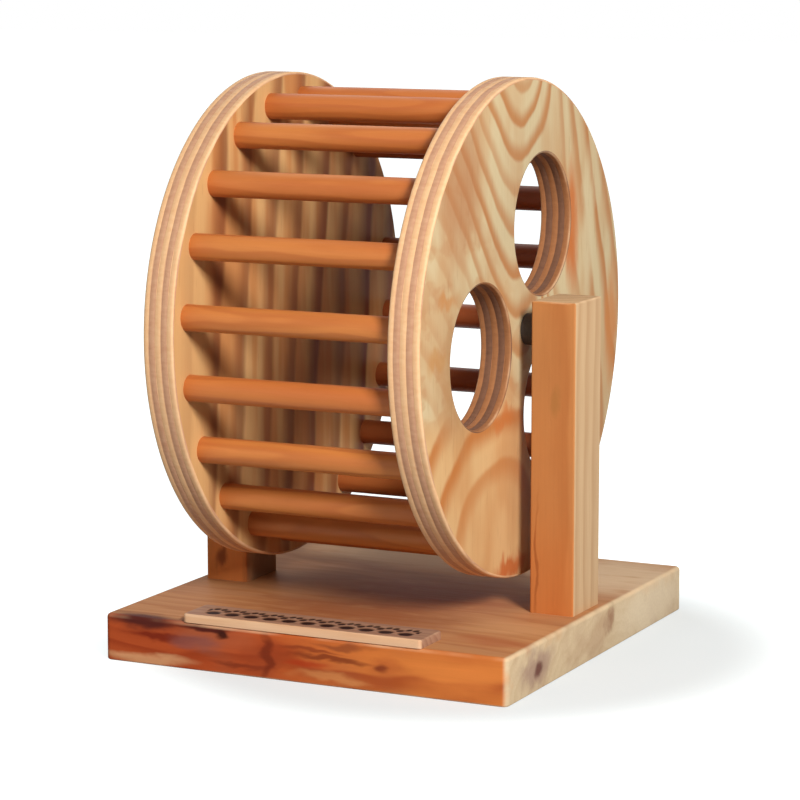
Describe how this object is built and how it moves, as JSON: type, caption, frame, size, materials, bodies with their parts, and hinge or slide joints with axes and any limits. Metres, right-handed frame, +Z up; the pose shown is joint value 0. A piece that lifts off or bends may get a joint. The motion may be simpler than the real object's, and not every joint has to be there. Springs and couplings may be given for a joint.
{
  "type": "pet exercise wheel",
  "caption": "Table-top wooden exercise wheel for a small pet: two plywood discs joined by dowel rungs, turning on axles between two posts on a flat board.",
  "frame": {"origin": "on the ground under the wheel's axle, halfway between the outsides of the posts", "axes": "+Z up, X along the wheel's axle with the disc that has windows on +X, -Y towards the front edge that carries the name plate"},
  "size_m": [0.167, 0.19, 0.2198],
  "materials": {
    "board_wood": "knotty softwood board, oiled, satin",
    "post_wood": "planed softwood, oiled, satin",
    "disc_plywood": "softwood plywood with bold grain, sanded, satin",
    "dowel_wood": "oiled dowel, satin",
    "plate_wood": "thin sanded wood, matt, with burnt dots",
    "axle_steel": "bright drawn steel",
    "screw_steel": "zinc-plated steel",
    "bush_brass": "turned brass",
    "spacer_nylon": "dark nylon tube, matt"
  },
  "bodies": {
    "stand": {"base_board": "board_wood", "post_left": "post_wood", "post_right": "post_wood", "axle_left": "axle_steel", "axle_right": "axle_steel", "spacer_left": "spacer_nylon", "spacer_right": "spacer_nylon", "screw_left_front": "screw_steel", "screw_left_back": "screw_steel", "screw_right_front": "screw_steel", "screw_right_back": "screw_steel", "name_plate": "plate_wood"},
    "wheel": {"disc_left": "disc_plywood", "disc_right": "disc_plywood", "rung_01": "dowel_wood", "rung_02": "dowel_wood", "rung_03": "dowel_wood", "rung_04": "dowel_wood", "rung_05": "dowel_wood", "rung_06": "dowel_wood", "rung_07": "dowel_wood", "rung_08": "dowel_wood", "rung_09": "dowel_wood", "rung_10": "dowel_wood", "rung_11": "dowel_wood", "rung_12": "dowel_wood", "rung_13": "dowel_wood", "rung_14": "dowel_wood", "rung_15": "dowel_wood", "rung_16": "dowel_wood", "rung_17": "dowel_wood", "rung_18": "dowel_wood", "rung_19": "dowel_wood", "rung_20": "dowel_wood", "bush_left": "bush_brass", "bush_right": "bush_brass"}
  },
  "joints": [
    {"name": "wheel_spin", "type": "hinge", "parent": "stand", "child": "wheel", "pos_m": [0, 0, 0.1248], "axis": [1, 0, 0], "continuous": true}
  ]
}
